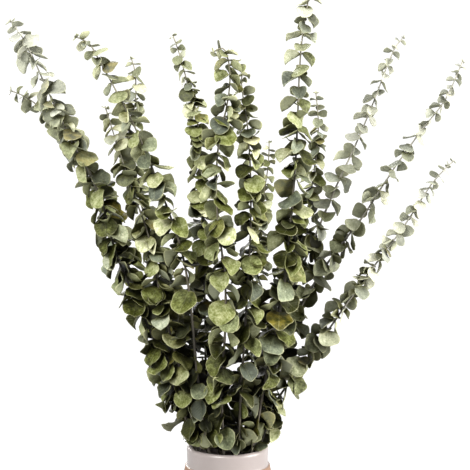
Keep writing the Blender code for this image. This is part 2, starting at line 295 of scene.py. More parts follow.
class Leaf:
    """One blade: where it grows, its axes, its size and the branch that bears it."""

    def __init__(self, branch, root, axis, normal, width, length, curl, stem):
        self.branch = branch
        self.root = root
        self.axis = axis
        self.side = normal.cross(axis).normalized()
        self.normal = normal
        self.width = width
        self.length = length
        self.curl = curl
        self.stem = stem
        self.inner = False

    def point(self, along, across, lift):
        bend = self.curl * self.length * (along / self.length) ** 2
        return (self.root + self.axis * (self.stem + along if along > 0.0 else 0.0)
                + self.side * across + self.normal * (bend + lift))


def blade_mesh(leaf, margin=0.0):
    """Corners and flat faces of a plain blade, for keeping leaves apart."""
    half = LEAF_THICKNESS / 2.0 + margin
    rows = [(0.0, leaf.stem * LEAF_ROOT_SHARE)]
    stations = SMALL_BLADE_STATIONS if leaf.width < SMALL_BLADE_WIDTH else BLADE_STATIONS
    for along, across in stations:
        rows.append((along * leaf.length, across * leaf.width + margin))
    rows[-1] = (rows[-1][0] + margin, rows[-1][1])
    corners = []
    for along, across in rows:
        for side in (-across, across):
            for lift in (half, -half):
                corners.append(leaf.point(along, side, lift))
    faces = [(0, 1, 3, 2)]
    for row in range(len(rows) - 1):
        a = 4 * row
        b = a + 4
        faces += [(a, a + 2, b + 2, b), (a + 1, b + 1, b + 3, a + 3)]
        faces += [(a, b, b + 1, a + 1), (a + 2, a + 3, b + 3, b + 2)]
    faces.append((b, b + 2, b + 3, b + 1))
    return corners, faces


def leaf_width(from_tip, young, widest):
    opened = LEAF_BUD_SHARE + (1.0 - LEAF_BUD_SHARE) * (1.0 - math.exp(-from_tip / LEAF_YOUNG_GROWTH))
    return young * opened + (widest - young) * (1.0 - math.exp(-from_tip / LEAF_LATE_GROWTH))


def node_spacing(from_tip):
    grown = 1.0 - math.exp(-from_tip / NODE_SPACING_GROWTH)
    return NODE_SPACING_TIP + (NODE_SPACING_FULL - NODE_SPACING_TIP) * grown


def leaf_tilt(from_tip, full_tilt):
    return TILT_TIP + (full_tilt - TILT_TIP) * (1.0 - math.exp(-from_tip / TILT_GROWTH))


def grow_nodes(index, rings, young, widest, full_tilt):
    """Each leaf pair's place, size and angles, from the tip down to the vase's mouth."""
    draw = random.Random(FIRST_SEED + index)
    lengths = lengths_from_tip(rings)
    start = draw.uniform(0.0, 90.0)
    nodes = []
    distance = FIRST_NODE
    while distance < lengths[-2] - LOWEST_LEAF:
        place, tipward = at_distance(rings, lengths, distance)
        order = len(nodes)
        nodes.append({
            "place": place,
            "tipward": tipward,
            "from_tip": distance,
            "stem": stem_radius(distance),
            "turn": start + 90.0 * order + draw.uniform(-TURN_JITTER, TURN_JITTER),
            "leaves": [
                {
                    "tilt": leaf_tilt(distance, full_tilt) + draw.uniform(-TILT_JITTER, TILT_JITTER),
                    "skew": draw.uniform(-SKEW_JITTER, SKEW_JITTER),
                    "roll": draw.uniform(-ROLL_JITTER, ROLL_JITTER),
                    "width": leaf_width(distance, young, widest) * draw.uniform(*WIDTH_RANGE),
                    "aspect": LEAF_ASPECT * draw.uniform(*ASPECT_RANGE),
                    "curl": LEAF_CURL + draw.uniform(-CURL_JITTER, CURL_JITTER),
                }
                for _ in range(2)
            ],
        })
        distance += node_spacing(distance) * draw.uniform(*SPACING_RANGE)
    return nodes


def make_leaf(branch, node, side, change):
    draw = node["leaves"][side]
    tilt, turn, size = change
    tipward = node["tipward"]
    across = tipward.orthogonal().normalized()
    azimuth = math.radians(node["turn"] + 180.0 * side + draw["skew"] + turn)
    outward = Matrix.Rotation(azimuth, 3, tipward) @ across
    lean = math.radians(draw["tilt"] + tilt)
    axis = (tipward * math.cos(lean) + outward * math.sin(lean)).normalized()
    normal = (tipward * math.sin(lean) - outward * math.cos(lean)).normalized()
    normal = Matrix.Rotation(math.radians(draw["roll"]), 3, axis) @ normal
    width = draw["width"] * size
    return Leaf(branch, node["place"], axis, normal, width, width * draw["aspect"],
                draw["curl"], node["stem"])


class Crowd:
    """What is already placed, and whether a new blade is clear of it."""

    def __init__(self, fixed):
        self.fixed = fixed
        self.placed = []

    def clear(self, leaf, margin):
        corners, faces = blade_mesh(leaf, margin)
        tree = BVHTree.FromPolygons(corners, faces)
        for owner, body in self.fixed:
            if owner != leaf.branch and tree.overlap(body):
                return False
        centre = leaf.point(leaf.length / 2.0, 0.0, 0.0)
        reach = leaf.length + leaf.width
        own = None
        for other_centre, other_reach, owner, body, blade in self.placed:
            if (other_centre - centre).length > (reach + other_reach) * 0.5:
                continue
            if owner != leaf.branch:
                if tree.overlap(body):
                    return False
                continue
            if own is None:
                own = BVHTree.FromPolygons(corners[4:], self.free_faces(faces))
            if own.overlap(blade):
                return False
        return True

    def free_faces(self, faces):
        return [tuple(i - 4 for i in f) for f in faces if min(f) >= 4]

    def add(self, leaf):
        corners, faces = blade_mesh(leaf)
        body = BVHTree.FromPolygons(corners, faces)
        blade = BVHTree.FromPolygons(corners[4:], self.free_faces(faces))
        centre = leaf.point(leaf.length / 2.0, 0.0, 0.0)
        self.placed.append((centre, leaf.length + leaf.width, leaf.branch, body, blade))


# Further pairs between the solid model's own, on the branches whose leaves stand close
# For each branch: how often, and from how far below its tip
BETWEEN = {
    "branch_right_middle": (0.5, 300.0),
    "branch_right_upper": (0.5, 280.0),
    "branch_right_low": (0.5, 230.0),
    "branch_back_right": (0.8, 40.0),
    "branch_back_short": (0.5, 60.0),
    "branch_back_middle": (0.9, 50.0),
    "branch_back_left": (0.9, 50.0),
    "branch_left_far": (0.9, 36.0),
    "branch_left_tall": (0.9, 84.0),
    "branch_left_inner": (0.8, 60.0),
    "branch_front_left": (0.8, 130.0),
    "branch_front_middle": (0.9, 60.0),
    "branch_front_right": (0.8, 40.0),
    "branch_centre_tall": (0.9, 150.0),
}
BETWEEN_TILT = (102.0, 140.0)
BETWEEN_TURN = (25.0, 65.0)
BETWEEN_WIDTH = (0.8, 1.0)

# Leaves round the rim: height on the stem, and how far back they hang
RIM_PLACES = (
    (27.0, (138.0, 160.0)),
    (6.0, (15.0, 48.0)),
    (17.0, (95.0, 140.0)),
    (10.0, (30.0, 70.0)),
)
RIM_WIDTH = (0.62, 0.85)
RIM_LEAN = (0.0, 8.0)
RIM_ABOVE = 1.0

# Pairs that fill the inside of the bunch above the vase
FILL_HEIGHT = 260.0
FILL_SPACING = 8.0
FILL_LOWEST = 4.0
FILL_UPRIGHT_BELOW = 24.0
FILL_STRAY = 5.0
SLIM_REACH = 9.0
SLIM_BELOW = 60.0

# Hollows in the front of the bunch, with hardly a leaf in front of a depth and shade behind it:
# middle across, half width, middle height above the rim, half height, and that depth
HOLLOWS = (
    (-37.0, 14.0, 118.0, 46.0, -58.0),
    (-27.0, 9.0, 186.0, 42.0, -58.0),
    (5.0, 10.0, 42.0, 25.0, -40.0),
)
HOLLOW_SHADE = 0.9
SHADE_BEFORE = 80.0


def between_nodes(index, rings, nodes, young, widest):
    draw = random.Random(FIRST_SEED * 5 + index)
    lengths = lengths_from_tip(rings)
    share, begin = BETWEEN[BRANCHES[index][0]]
    extra = []
    for node, lower in zip(nodes, nodes[1:]):
        distance = (node["from_tip"] + lower["from_tip"]) / 2.0
        wanted = draw.random() < share
        if distance < begin or not wanted:
            continue
        place, tipward = at_distance(rings, lengths, distance)
        extra.append({
            "place": place,
            "tipward": tipward,
            "from_tip": distance,
            "stem": stem_radius(distance),
            "turn": node["turn"] + draw.uniform(*BETWEEN_TURN),
            "leaves": [
                {
                    "tilt": draw.uniform(*BETWEEN_TILT),
                    "skew": draw.uniform(-SKEW_JITTER, SKEW_JITTER),
                    "roll": draw.uniform(-ROLL_JITTER, ROLL_JITTER) * 0.6,
                    "width": leaf_width(distance, young, widest) * draw.uniform(*BETWEEN_WIDTH),
                    "aspect": LEAF_ASPECT * draw.uniform(*ASPECT_RANGE),
                    "curl": LEAF_CURL + draw.uniform(-CURL_JITTER, CURL_JITTER),
                }
                for _ in range(2)
            ],
        })
    return extra


def filling_nodes(index, rings, young, widest, full_tilt):
    """Further pairs low on the stem, which fill the inside of the bunch."""
    draw = random.Random(FIRST_SEED * 9 + index)
    lengths = lengths_from_tip(rings)
    nodes = []
    above = FILL_LOWEST
    while above < FILL_HEIGHT:
        distance = lengths[-2] - above
        place, tipward = at_distance(rings, lengths, distance)
        upright = above < FILL_UPRIGHT_BELOW
        nodes.append({
            "place": place,
            "tipward": tipward,
            "from_tip": distance,
            "stem": stem_radius(distance),
            "turn": draw.uniform(0.0, 360.0),
            "leaves": [
                {
                    "tilt": draw.uniform(35.0, 75.0) if upright else draw.uniform(70.0, 140.0),
                    "skew": draw.uniform(-SKEW_JITTER, SKEW_JITTER),
                    "roll": draw.uniform(-ROLL_JITTER, ROLL_JITTER),
                    "width": leaf_width(distance, young, widest) * draw.uniform(0.7, 0.95),
                    "aspect": LEAF_ASPECT * draw.uniform(*ASPECT_RANGE),
                    "curl": LEAF_CURL + draw.uniform(-CURL_JITTER, CURL_JITTER),
                }
                for _ in range(2)
            ],
        })
        above += FILL_SPACING * draw.uniform(*SPACING_RANGE)
    return nodes


def hollowness(point):
    """How deep a point lies in a hollow, from 0 at its edge up to 1."""
    deepest = 0.0
    for middle, half, height, half_height, depth in HOLLOWS:
        off = ((point.x - middle) / half) ** 2 + ((point.z - VASE_HEIGHT - height) / half_height) ** 2
        if point.y < depth:
            deepest = max(deepest, 1.0 - off)
    return deepest


def kept_out(leaf):
    """Whether the blade stands clear of the hollows."""
    return hollowness(leaf.point(leaf.length / 2.0, 0.0, 0.0)) == 0.0


def slim(leaf):
    """Whether the blade keeps close to its stem, low in the bunch."""
    tip = leaf.point(leaf.length, 0.0, 0.0)
    reach = math.hypot(leaf.root.x, leaf.root.y)
    above = tip.z - VASE_HEIGHT
    return math.hypot(tip.x, tip.y) < reach + SLIM_REACH + max(above - SLIM_BELOW, 0.0) * 0.3


def low_and_slim(leaf):
    """Whether a blade that ends low in the bunch keeps close to its stem."""
    low = leaf.point(leaf.length, 0.0, 0.0).z < VASE_HEIGHT + SLIM_BELOW
    return slim(leaf) if low else True


def inward(leaf):
    """Whether the blade keeps to the inside of the bunch."""
    tip = leaf.point(leaf.length, 0.0, 0.0)
    reach = math.hypot(leaf.root.x, leaf.root.y) + FILL_STRAY
    return math.hypot(tip.x, tip.y) < max(reach, MOUTH_RADIUS)


def rim_nodes(index, rings, young, widest):
    """Small leaves low on the stem, tried all round it, which lean out over the rim."""
    draw = random.Random(FIRST_SEED * 13 + index)
    lengths = lengths_from_tip(rings)
    nodes = []
    for above, tilts in RIM_PLACES:
        distance = lengths[-2] - above
        place, tipward = at_distance(rings, lengths, distance)
        for turn in range(0, 180, 30):
            nodes.append({
                "place": place,
                "tipward": tipward,
                "from_tip": distance,
                "stem": stem_radius(distance),
                "turn": turn + draw.uniform(-TURN_JITTER, TURN_JITTER),
                "leaves": [
                    {
                        "tilt": draw.uniform(*tilts),
                        "skew": draw.uniform(-SKEW_JITTER, SKEW_JITTER),
                        "roll": draw.uniform(-ROLL_JITTER, ROLL_JITTER),
                        "width": leaf_width(distance, young, widest) * draw.uniform(*RIM_WIDTH),
                        "aspect": LEAF_ASPECT * draw.uniform(*ASPECT_RANGE),
                        "curl": LEAF_CURL + draw.uniform(-CURL_JITTER, CURL_JITTER),
                    }
                    for _ in range(2)
                ],
            })
    return nodes


def over_rim(leaf):
    """Whether the blade stands above the rim and leans out a little."""
    tip = leaf.point(leaf.length, 0.0, 0.0)
    out = math.hypot(tip.x, tip.y) - math.hypot(leaf.root.x, leaf.root.y)
    return RIM_LEAN[0] < out < RIM_LEAN[1] and tip.z > VASE_HEIGHT + RIM_ABOVE


def place_pairs(growth, crowd, placed, suits):
    """Both leaves of each pair, where they are clear and suit."""
    for order in range(max(len(nodes) for nodes in growth)):
        for branch, nodes in enumerate(growth):
            if order >= len(nodes):
                continue
            for side in range(2):
                for change in LATE_TRIES:
                    leaf = make_leaf(branch, nodes[order], side, change)
                    if suits(leaf) and kept_out(leaf) and crowd.clear(leaf, LATE_CLEARANCE):
                        crowd.add(leaf)
                        placed.append((leaf, nodes[order]["from_tip"]))
                        break


def place_leaves(growth, betweens, edges, fillers, crowd):
    """The leaves of the solid model first, at their own places, then all the rest."""
    placed = []
    taken = set()
    orders = range(max(len(nodes) for nodes in growth))
    for order in orders:
        for branch, nodes in enumerate(growth):
            if order >= len(nodes) or order % BARE_EVERY == BARE_EVERY - 1:
                continue
            side = (order // 2) % 2
            for change in TRIES:
                leaf = make_leaf(branch, nodes[order], side, change)
                if crowd.clear(leaf, CLEARANCE):
                    crowd.add(leaf)
                    placed.append((leaf, nodes[order]["from_tip"]))
                    taken.add((branch, order, side))
                    break
    for order in orders:
        for branch, nodes in enumerate(growth):
            if order >= len(nodes):
                continue
            for side in range(2):
                if (branch, order, side) in taken:
                    continue
                for change in LATE_TRIES:
                    leaf = make_leaf(branch, nodes[order], side, change)
                    suits = low_and_slim(leaf) and kept_out(leaf)
                    if suits and crowd.clear(leaf, LATE_CLEARANCE):
                        crowd.add(leaf)
                        placed.append((leaf, nodes[order]["from_tip"]))
                        break
    place_pairs(edges, crowd, placed, over_rim)
    place_pairs(betweens, crowd, placed, slim)
    shown = len(placed)
    place_pairs(fillers, crowd, placed, inward)
    for leaf, _ in placed[shown:]:
        leaf.inner = True
    return placed


# Leaf shape

SPOKES = 20
RINGS = (0.33, 0.62, 0.84, 0.96, 1.0)
INNER_POINTS = 1 + (len(RINGS) - 1) * SPOKES
TOP_POINTS = 1 + len(RINGS) * SPOKES
HALF_THICKNESS = 0.17
BLADE_CENTRE = 0.5
BLADE_BASE = 0.02
BLADE_LENGTH = 0.96
BLADE_WIDTH = 1.07
TIP_ROUNDNESS = 0.93
BASE_ROUNDNESS = 0.76
HEART = 0.05
LOBE = 0.08
LOBE_AT = 2.77
LOBE_SPREAD = 0.3
FOLDED_SHARE = 0.32
CRUMPLED_WIDTH = 27.0


def outline(tip_point, lobe):
    """The blade's edge as shares of its length and width, from the tip round to the tip."""
    turn = np.linspace(0.0, 2.0 * math.pi, SPOKES, endpoint=False)
    cosine = np.cos(turn)
    sine = np.sin(turn)
    reach = np.where(cosine > 0.0, 1.0 - BLADE_CENTRE, BLADE_CENTRE - BLADE_BASE)
    uneven = 1.0 + 0.035 * np.sin(2.0 * turn + lobe) + 0.03 * np.sin(3.0 * turn + 2.0 * lobe)
    uneven += 0.02 * np.sin(5.0 * turn + 3.0 * lobe)
    bend = np.minimum(turn, 2.0 * math.pi - turn)
    along = (reach * cosine + tip_point * np.exp(-(bend / 0.35) ** 2)) * uneven
    along -= LOBE * np.exp(-((bend - LOBE_AT) / LOBE_SPREAD) ** 2)
    power = np.where(cosine > 0.0, TIP_ROUNDNESS, BASE_ROUNDNESS)
    across = 0.5 * np.sign(sine) * np.abs(sine) ** power * (1.0 - HEART * cosine) * uneven
    return turn, along * BLADE_LENGTH, across * BLADE_WIDTH


def leaf_arrays(leaf, draw):
    """Corners in metres, with the shares, ring and side that the material reads."""
    lobe = draw.uniform(0.0, 2.0 * math.pi)
    turn, edge_along, edge_across = outline(draw.uniform(-0.04, 0.1), lobe)
    crumple = min(leaf.width / CRUMPLED_WIDTH, 1.0) ** 2
    fold = draw.uniform(-12.0, 26.0)
    if draw.random() < FOLDED_SHARE:
        fold = draw.uniform(30.0, 55.0)
    cup = draw.uniform(-0.14, 0.13)
    wave = draw.uniform(0.02, 0.09) * (0.4 + 0.6 * crumple)
    waves = draw.choice((2, 3, 3, 4))
    phase = draw.uniform(0.0, 2.0 * math.pi)
    ripple = draw.uniform(0.006, 0.026) * crumple
    rolls = [(draw.uniform(0.0, 2.0 * math.pi), draw.uniform(-0.22, 0.26) * crumple) for _ in range(2)]
    hook = draw.uniform(-0.22, 0.1)
    twist = draw.uniform(-0.25, 0.25)
    dents = [(draw.uniform(0.2, 0.8), draw.uniform(-0.3, 0.3), draw.uniform(-0.07, 0.07) * crumple)
             for _ in range(4)]
    ring = np.concatenate([[0.0], np.repeat(RINGS, SPOKES)])
    angle = np.concatenate([[0.0], np.tile(turn, len(RINGS))])
    along = BLADE_CENTRE + np.concatenate([[0.0], np.outer(RINGS, edge_along).ravel()])
    across = np.concatenate([[0.0], np.outer(RINGS, edge_across).ravel()])
    length = leaf.length
    width = leaf.width
    lean = math.radians(fold)
    from_rib = np.sqrt((across * width) ** 2 + 0.25) - 0.5
    lift = leaf.curl * length * along ** 2 + from_rib * math.sin(lean)
    lift += cup * width * ring ** 2
    lift += wave * width * ring ** 2 * np.sin(waves * angle + phase)
    lift += ripple * width * ring ** 3 * np.sin(7.0 * angle + 2.0 * phase)
    for roll_at, roll in rolls:
        away = np.abs((angle - roll_at + math.pi) % (2.0 * math.pi) - math.pi)
        lift += roll * width * ring ** 4 * np.exp(-(away / 0.55) ** 2)
    lift += hook * length * np.clip((along - 0.55) / 0.45, 0.0, None) ** 2
    lift += twist * width * across * along
    for dent_along, dent_across, dent in dents:
        away = (along - dent_along) ** 2 + (across - dent_across) ** 2
        lift += dent * width * np.exp(-away / 0.02)
    x = along * length + leaf.stem
    y = across * width * math.cos(lean)
    root = INNER_POINTS + SPOKES // 2
    x[root] = 0.0
    lift[root] = 0.0
    axes = np.array([leaf.axis, leaf.side, leaf.normal])
    middle = np.array(leaf.root) + np.stack([x, y, lift], axis=1) @ axes
    offset = (ring < 1.0)[:, None] * HALF_THICKNESS * np.array(leaf.normal)[None, :]
    corners = np.concatenate([middle + offset, (middle - offset)[:INNER_POINTS]]) * MM
    shares = np.stack([along, across, ring], axis=1)
    marks = np.concatenate([shares, shares[:INNER_POINTS]])
    under = np.zeros(len(marks))
    under[INNER_POINTS:TOP_POINTS] = 0.5
    under[TOP_POINTS:] = 1.0
    return corners, marks, under


def leaf_faces():
    """Faces of one leaf: its upper side, then its under side, which share the edge."""
    faces = []
    for layer in range(2):
        def corner(ring, spoke):
            if ring < 0:
                return TOP_POINTS * layer
            index = 1 + ring * SPOKES + spoke % SPOKES
            return index if layer == 0 or index >= INNER_POINTS else TOP_POINTS + index
        for spoke in range(SPOKES):
            face = [corner(-1, 0), corner(0, spoke), corner(0, spoke + 1)]
            faces.append(face if layer == 0 else face[::-1])
            for ring in range(len(RINGS) - 1):
                face = [corner(ring, spoke), corner(ring + 1, spoke),
                        corner(ring + 1, spoke + 1), corner(ring, spoke + 1)]
                faces.append(face if layer == 0 else face[::-1])
    return faces


def add_attribute(mesh, name, values):
    layer = mesh.attributes.new(name, "FLOAT", "POINT")
    layer.data.foreach_set("value", np.asarray(values, np.float32))


def map_leaves(mesh, marks, count, faces_each):
    """A map with a cell of its own for each side of each leaf."""
    cells = math.ceil(math.sqrt(2 * count))
    loops = np.zeros(len(mesh.loops), np.int32)
    mesh.loops.foreach_get("vertex_index", loops)
    sides = np.zeros(len(mesh.polygons), np.int32)
    mesh.polygons.foreach_get("loop_total", sides)
    cell = np.repeat(np.arange(len(mesh.polygons)) // (faces_each // 2), sides)
    places = np.stack([marks[loops, 0] * 0.8 + 0.08, marks[loops, 1] * 0.8 + 0.5], axis=1)
    places = (places + np.stack([cell % cells, cell // cells], axis=1)) / cells
    layer = mesh.uv_layers.new(name="OFBake")
    layer.data.foreach_set("uv", places.astype(np.float32).ravel())


def leaves_piece(name, leaves, surface, seed):
    """All the leaves of one branch as one mesh."""
    draw = random.Random(seed)
    pattern = leaf_faces()
    corners = []
    faces = []
    marks = []
    values = {"under": [], "tone": [], "shade": [], "pale": [], "deep": [], "size": []}
    for number, (leaf, pale, deep, age) in enumerate(leaves):
        places, shares, under = leaf_arrays(leaf, draw)
        faces += [[i + number * len(places) for i in face] for face in pattern]
        corners.append(places)
        marks.append(shares)
        values["under"].append(under)
        tone = 0.5 + (draw.random() - 0.5) * (1.0 - OLD_EVENNESS * age) - age
        # deep holds the painted shade, and pale the pale tint, which is partly painted light
        for key, value in (("tone", tone), ("shade", draw.random()),
                           ("pale", pale * draw.uniform(0.6, 1.2)), ("deep", deep),
                           ("size", min(leaf.width / FULL_SIZE, 1.0) ** 2)):
            values[key].append(np.full(len(places), value))
    mesh = bpy.data.meshes.new(name)
    mesh.from_pydata(np.concatenate(corners).tolist(), [], faces)
    marks = np.concatenate(marks)
    for key, value in values.items():
        add_attribute(mesh, key, np.concatenate(value))
    for column, key in enumerate(("along", "across", "ring")):
        add_attribute(mesh, key, marks[:, column])
    map_leaves(mesh, marks, len(leaves), len(pattern))
    mesh.materials.append(surface)
    mesh.shade_smooth()
    piece = bpy.data.objects.new(name, mesh)
    bpy.context.scene.collection.objects.link(piece)
    return piece


# Leaves far from the tip are older, darker and more even
OLD_EVENNESS = 0.65
AGE_FROM = 150.0
AGE_FULL = 380.0

# How pale the young leaves of a branch are, partly their own colour and partly painted light for the bright haze
# on the right-hand branches and the flat light on the tall left one, how far down that reaches, and how much
# darker its old leaves are
TONES = {
    "branch_right_middle": (1.0, 260.0, 0.24),
    "branch_right_upper": (1.0, 230.0, 0.24),
    "branch_right_low": (1.0, 230.0, 0.14),
    "branch_back_right": (0.4, 60.0, 0.45),
    "branch_back_short": (0.2, 40.0, 0.4),
    "branch_back_middle": (0.4, 60.0, 0.35),
    "branch_back_left": (0.4, 80.0, 0.34),
    "branch_left_far": (0.6, 90.0, 0.3),
    "branch_left_tall": (1.3, 110.0, 0.32),
    "branch_left_inner": (0.4, 80.0, 0.36),
    "branch_front_left": (0.4, 80.0, 0.42),
    "branch_front_middle": (0.1, 60.0, 0.42),
    "branch_front_right": (0.3, 60.0, 0.42),
    "branch_centre_tall": (0.5, 120.0, 0.36),
}
# Painted shade of the leaves: leaves that cover one from outside the bunch, the filling leaves and the hollows
# darken it, less near the tip
COVER_SIDEWAYS = 22.0
COVER_RISE = 0.5
COVER_FROM = 1
COVER_FULL = 7.0
COVER_NEAREST = 4.0
COVER_FARTHEST = 110.0
INNER_PAINTED_SHADE = 0.6
OPEN_TIP = 170.0


def hollow_shades(points):
    """How much the hollows shade each point."""
    shades = np.zeros(len(points))
    for middle, half, height, half_height, _ in HOLLOWS:
        off = ((points[:, 0] - middle) / half) ** 2
        off += ((points[:, 2] - VASE_HEIGHT - height) / half_height) ** 2
        shades += HOLLOW_SHADE * np.exp(-off)
    return shades * (points[:, 1] < SHADE_BEFORE)


def painted_leaf_shades(placed):
    """Painted shade for each leaf, from 0 to 1: how well other leaves cover it from outside the bunch, more on
    the filling leaves and in the hollows, and less towards the tip.
    """
    centres = np.array([leaf.point(leaf.length / 2.0, 0.0, 0.0) for leaf, _ in placed])
    branch = np.array([leaf.branch for leaf, _ in placed])
    outward = centres.copy()
    outward[:, 2] = 0.0
    outward /= np.linalg.norm(outward, axis=1)[:, None]
    outward[:, 2] = COVER_RISE
    outward /= np.linalg.norm(outward, axis=1)[:, None]
    gaps = centres[None, :, :] - centres[:, None, :]
    ahead = np.einsum("ijk,ik->ij", gaps, outward)
    sideways = np.linalg.norm(gaps - ahead[:, :, None] * outward[:, None, :], axis=2)
    covers = (ahead > COVER_NEAREST) & (ahead < COVER_FARTHEST) & (sideways < COVER_SIDEWAYS)
    covers &= branch[:, None] != branch[None, :]
    inner = np.array([leaf.inner for leaf, _ in placed])
    deep = (covers.sum(axis=1) - COVER_FROM) / COVER_FULL + INNER_PAINTED_SHADE * inner
    from_tip = np.array([distance for _, distance in placed])
    return np.clip(deep + hollow_shades(centres), 0.0, 1.0) * np.clip(from_tip / OPEN_TIP, 0.0, 1.0)


# Stem shape

STEM_SIDES = 10
STEM_STEP = 3.0
NODE_SWELL = 0.28
NODE_SWELL_LENGTH = 1.6


def stem_piece(name, rings, nodes, surface, pale, seed):
    """A fine tapered stem with a small swelling where each leaf pair grows."""
    draw = random.Random(seed)
    route = smooth_route(rings[:-1]) + [rings[-1]]
    lengths = lengths_from_tip(route)
    total = lengths[-1]
    stops = [0.0]
    while stops[-1] < total - STEM_STEP:
        stops.append(stops[-1] + STEM_STEP)
    stops[-1] = total
    places = [node["from_tip"] for node in nodes]
    corners = []
    shares = []
    across = Vector((0.0, 1.0, 0.0))
    for stop in stops:
        centre, tipward = at_distance(route, lengths, stop)
        across = (across - tipward * across.dot(tipward)).normalized()
        third = tipward.cross(across)
        nearest = min(abs(stop - place) for place in places)
        swell = 1.0 + NODE_SWELL * math.exp(-(nearest / NODE_SWELL_LENGTH) ** 2)
        radius = stem_radius(stop) * swell * draw.uniform(0.96, 1.04)
        for k in range(STEM_SIDES):
            turn = 2.0 * math.pi * k / STEM_SIDES
            corners.append((centre + (across * math.cos(turn) + third * math.sin(turn)) * radius) * MM)
            shares.append(stop / total)
    faces = []
    for row in range(len(stops) - 1):
        for k in range(STEM_SIDES):
            a = row * STEM_SIDES + k
            b = row * STEM_SIDES + (k + 1) % STEM_SIDES
            faces.append((a, a + STEM_SIDES, b + STEM_SIDES, b))
    last = (len(stops) - 1) * STEM_SIDES
    faces.append(tuple(range(STEM_SIDES)))
    faces.append(tuple(last + k for k in reversed(range(STEM_SIDES))))
    mesh = bpy.data.meshes.new(name)
    mesh.from_pydata(corners, [], faces)
    add_attribute(mesh, "down", shares)
    # deep is painted shade from the hollows; pale is the pale tint near the tip, partly painted light
    add_attribute(mesh, "deep", np.clip(hollow_shades(np.array(corners) / MM), 0.0, 1.0))
    add_attribute(mesh, "pale", [pale[0] * math.exp(-(share * total / pale[1]) ** 2) for share in shares])
    mesh.materials.append(surface)
    mesh.shade_smooth()
    piece = bpy.data.objects.new(name, mesh)
    bpy.context.scene.collection.objects.link(piece)
    return piece


# Vase shape

VASE_SIDES = 144
LIP_STEPS = 14
BODY_STEPS = 60
INNER_STEPS = 24


def body_radius(share):
    straight = VASE_BASE_RADIUS + (VASE_SHOULDER_RADIUS - VASE_BASE_RADIUS) * share
    return straight + VASE_BULGE * math.sin(math.pi * share)


def vase_profile():
    shoulder = VASE_HEIGHT - COLLAR_HEIGHT
    points = [(0.0, VASE_FLOOR), (VASE_BASE_RADIUS / 2.0, VASE_FLOOR)]
    for step in range(INNER_STEPS + 1):
        height = VASE_FLOOR + (shoulder - VASE_FLOOR) * step / INNER_STEPS
        points.append((body_radius(height / shoulder) - VASE_WALL, height))
    lip = (RIM_RADIUS - MOUTH_RADIUS) / 2.0
    points.append((MOUTH_RADIUS + 0.4, VASE_HEIGHT - COLLAR_HEIGHT / 2.0))
    points.append((MOUTH_RADIUS, VASE_HEIGHT - 2.0 * lip))
    for step in range(LIP_STEPS + 1):
        turn = math.pi * (1.0 - step / LIP_STEPS)
        reach = MOUTH_RADIUS + lip + lip * math.cos(turn)
        points.append((reach, VASE_HEIGHT - lip + lip * math.sin(turn)))
    for step in range(1, 9):
        height = VASE_HEIGHT - lip - (COLLAR_HEIGHT - lip - COLLAR_STEP) * step / 8.0
        points.append((RIM_RADIUS - 0.4 * math.sin(math.pi * 0.5 * step / 8.0), height))
    points.append((COLLAR_RADIUS + 0.5, shoulder + 0.45))
    points.append((VASE_SHOULDER_RADIUS - 0.6, shoulder + 0.1))
    for step in range(BODY_STEPS + 1):
        height = shoulder - 0.5 + (FOOT_ROUNDING - shoulder + 0.5) * step / BODY_STEPS
        ripple = 0.12 * math.sin(height * 0.9) + 0.08 * math.sin(height * 0.37 + 1.0)
        points.append((body_radius(height / shoulder) + ripple, height))
    for step in range(1, 5):
        turn = math.pi / 2.0 * step / 4.0
        reach = VASE_BASE_RADIUS - FOOT_ROUNDING * (1.0 - math.cos(turn))
        points.append((reach, FOOT_ROUNDING * (1.0 - math.sin(turn))))
    points.append((VASE_BASE_RADIUS / 2.0, 0.0))
    points.append((0.0, 0.0))
    return points


def vase_piece(surface):
    points = [(x * MM, 0.0, z * MM) for x, z in vase_profile()]
    edges = [(i, i + 1) for i in range(len(points) - 1)]
    mesh = bpy.data.meshes.new("vase_turned")
    mesh.from_pydata(points, edges, [])
    line = bpy.data.objects.new("vase_line", mesh)
    bpy.context.scene.collection.objects.link(line)
    turned = line.modifiers.new("turned", "SCREW")
    turned.steps = VASE_SIDES
    turned.render_steps = VASE_SIDES
    turned.use_merge_vertices = True
    turned.merge_threshold = 0.00001
    made = evaluated_mesh(line)
    bpy.data.objects.remove(line, do_unlink=True)
    made.materials.clear()
    made.materials.append(surface)
    made.shade_smooth()
    piece = bpy.data.objects.new("vase_turned", made)
    bpy.context.scene.collection.objects.link(piece)
    return piece


# Materials


